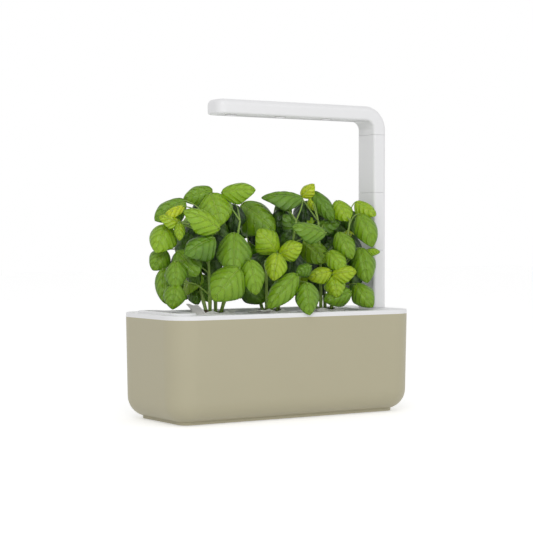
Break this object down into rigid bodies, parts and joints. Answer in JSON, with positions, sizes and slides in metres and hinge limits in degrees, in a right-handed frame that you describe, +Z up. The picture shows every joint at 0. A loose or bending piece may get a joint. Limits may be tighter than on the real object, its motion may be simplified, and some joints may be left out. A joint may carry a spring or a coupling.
{
  "type": "countertop hydroponic garden",
  "caption": "Countertop hydroponic garden: beige water tank with a white lid, basil in lift-out cups, a float gauge at the filling slot and an arched plant lamp on a pull-apart column.",
  "frame": {"origin": "on the table under the middle of the tank", "axes": "+Z up; +X along the tank towards the lamp column; the showing front face towards -Y"},
  "size_m": [0.3, 0.1397, 0.3327],
  "materials": {
    "beige_plastic": "fine satin grain",
    "white_plastic": "satin white",
    "inlet_trim": "satin white",
    "foot_rubber": "matt",
    "float_white": "matt",
    "flag_orange": "satin",
    "cup_plastic": "matt pale",
    "felt": "felt",
    "soil": "crumbly growing medium",
    "paper": "uncoated paper",
    "leaf": "fresh green, slightly glossy",
    "case_plastic": "matt",
    "jack_black": "matt black",
    "circuit_board": "solder mask",
    "electronic_parts": "matt",
    "steel": "plated",
    "contact_gold": "gold-plated",
    "wire_red": "insulation",
    "connector_black": "matt",
    "diffuser": "satin",
    "lens": "clear over dark",
    "led_board_white": "white mask",
    "led_yellow": "phosphor",
    "spreader_alloy": "plain"
  },
  "bodies": {
    "tank": {"tank": "beige_plastic", "rubber_feet": "foot_rubber"},
    "lid": {"lid": "white_plastic", "inlet_frame": "inlet_trim", "float_guide": "case_plastic", "electronics_case": "case_plastic", "dc_inlet": "jack_black", "driver_board": "circuit_board", "driver_parts": "electronic_parts", "case_screws": "steel", "case_socket": "connector_black", "jack_leads": "wire_red", "lamp_leads": "wire_red"},
    "float": {"float_body": "float_white", "float_flag": "flag_orange"},
    "cup_left": {"cup_left": "cup_plastic", "wick_left": "felt"},
    "pod_left": {"soil_pod_left": "soil", "pod_label_left": "paper", "basil_left": "leaf"},
    "cup_middle": {"cup_middle": "cup_plastic", "wick_middle": "felt"},
    "pod_middle": {"soil_pod_middle": "soil", "pod_label_middle": "paper", "basil_middle": "leaf"},
    "cup_right": {"cup_right": "cup_plastic", "wick_right": "felt"},
    "pod_right": {"soil_pod_right": "soil", "pod_label_right": "paper", "basil_right": "leaf"},
    "base_arm": {"base_arm_shell": "white_plastic", "base_arm_plug": "connector_black", "base_arm_pins": "contact_gold", "base_arm_socket": "connector_black", "base_arm_wires": "wire_red"},
    "lower_extension": {"lower_extension_shell": "white_plastic", "lower_extension_plug": "connector_black", "lower_extension_pins": "contact_gold", "lower_extension_socket": "connector_black", "lower_extension_wires": "wire_red"},
    "upper_extension": {"upper_extension_shell": "white_plastic", "upper_extension_plug": "connector_black", "upper_extension_pins": "contact_gold", "upper_extension_socket": "connector_black", "upper_extension_wires": "wire_red"},
    "lamp_head": {"lamp_shell": "white_plastic", "light_panel": "diffuser", "led_lenses": "lens", "led_board": "led_board_white", "led_chips": "led_yellow", "heat_spreader": "spreader_alloy", "lamp_plug": "connector_black", "lamp_pins": "contact_gold", "lamp_wires": "wire_red"}
  },
  "joints": [
    {"name": "lid_lift", "type": "slide", "parent": "tank", "child": "lid", "axis": [0, 0, 1], "range_m": [0, 0.11]},
    {"name": "float_rise", "type": "slide", "parent": "lid", "child": "float", "axis": [0, 0, 1], "range_m": [0, 0.034]},
    {"name": "cup_left_lift", "type": "slide", "parent": "lid", "child": "cup_left", "axis": [0, 0, 1], "range_m": [0, 0.06]},
    {"name": "pod_left_lift", "type": "slide", "parent": "cup_left", "child": "pod_left", "axis": [0, 0, 1], "range_m": [0, 0.054]},
    {"name": "cup_middle_lift", "type": "slide", "parent": "lid", "child": "cup_middle", "axis": [0, 0, 1], "range_m": [0, 0.06]},
    {"name": "pod_middle_lift", "type": "slide", "parent": "cup_middle", "child": "pod_middle", "axis": [0, 0, 1], "range_m": [0, 0.054]},
    {"name": "cup_right_lift", "type": "slide", "parent": "lid", "child": "cup_right", "axis": [0, 0, 1], "range_m": [0, 0.06]},
    {"name": "pod_right_lift", "type": "slide", "parent": "cup_right", "child": "pod_right", "axis": [0, 0, 1], "range_m": [0, 0.054]},
    {"name": "base_arm_pull", "type": "slide", "parent": "lid", "child": "base_arm", "axis": [0, 0, 1], "range_m": [0, 0.017]},
    {"name": "lower_extension_pull", "type": "slide", "parent": "base_arm", "child": "lower_extension", "axis": [0, 0, 1], "range_m": [0, 0.017]},
    {"name": "upper_extension_pull", "type": "slide", "parent": "lower_extension", "child": "upper_extension", "axis": [0, 0, 1], "range_m": [0, 0.017]},
    {"name": "lamp_head_pull", "type": "slide", "parent": "upper_extension", "child": "lamp_head", "axis": [0, 0, 1], "range_m": [0, 0.017]}
  ]
}
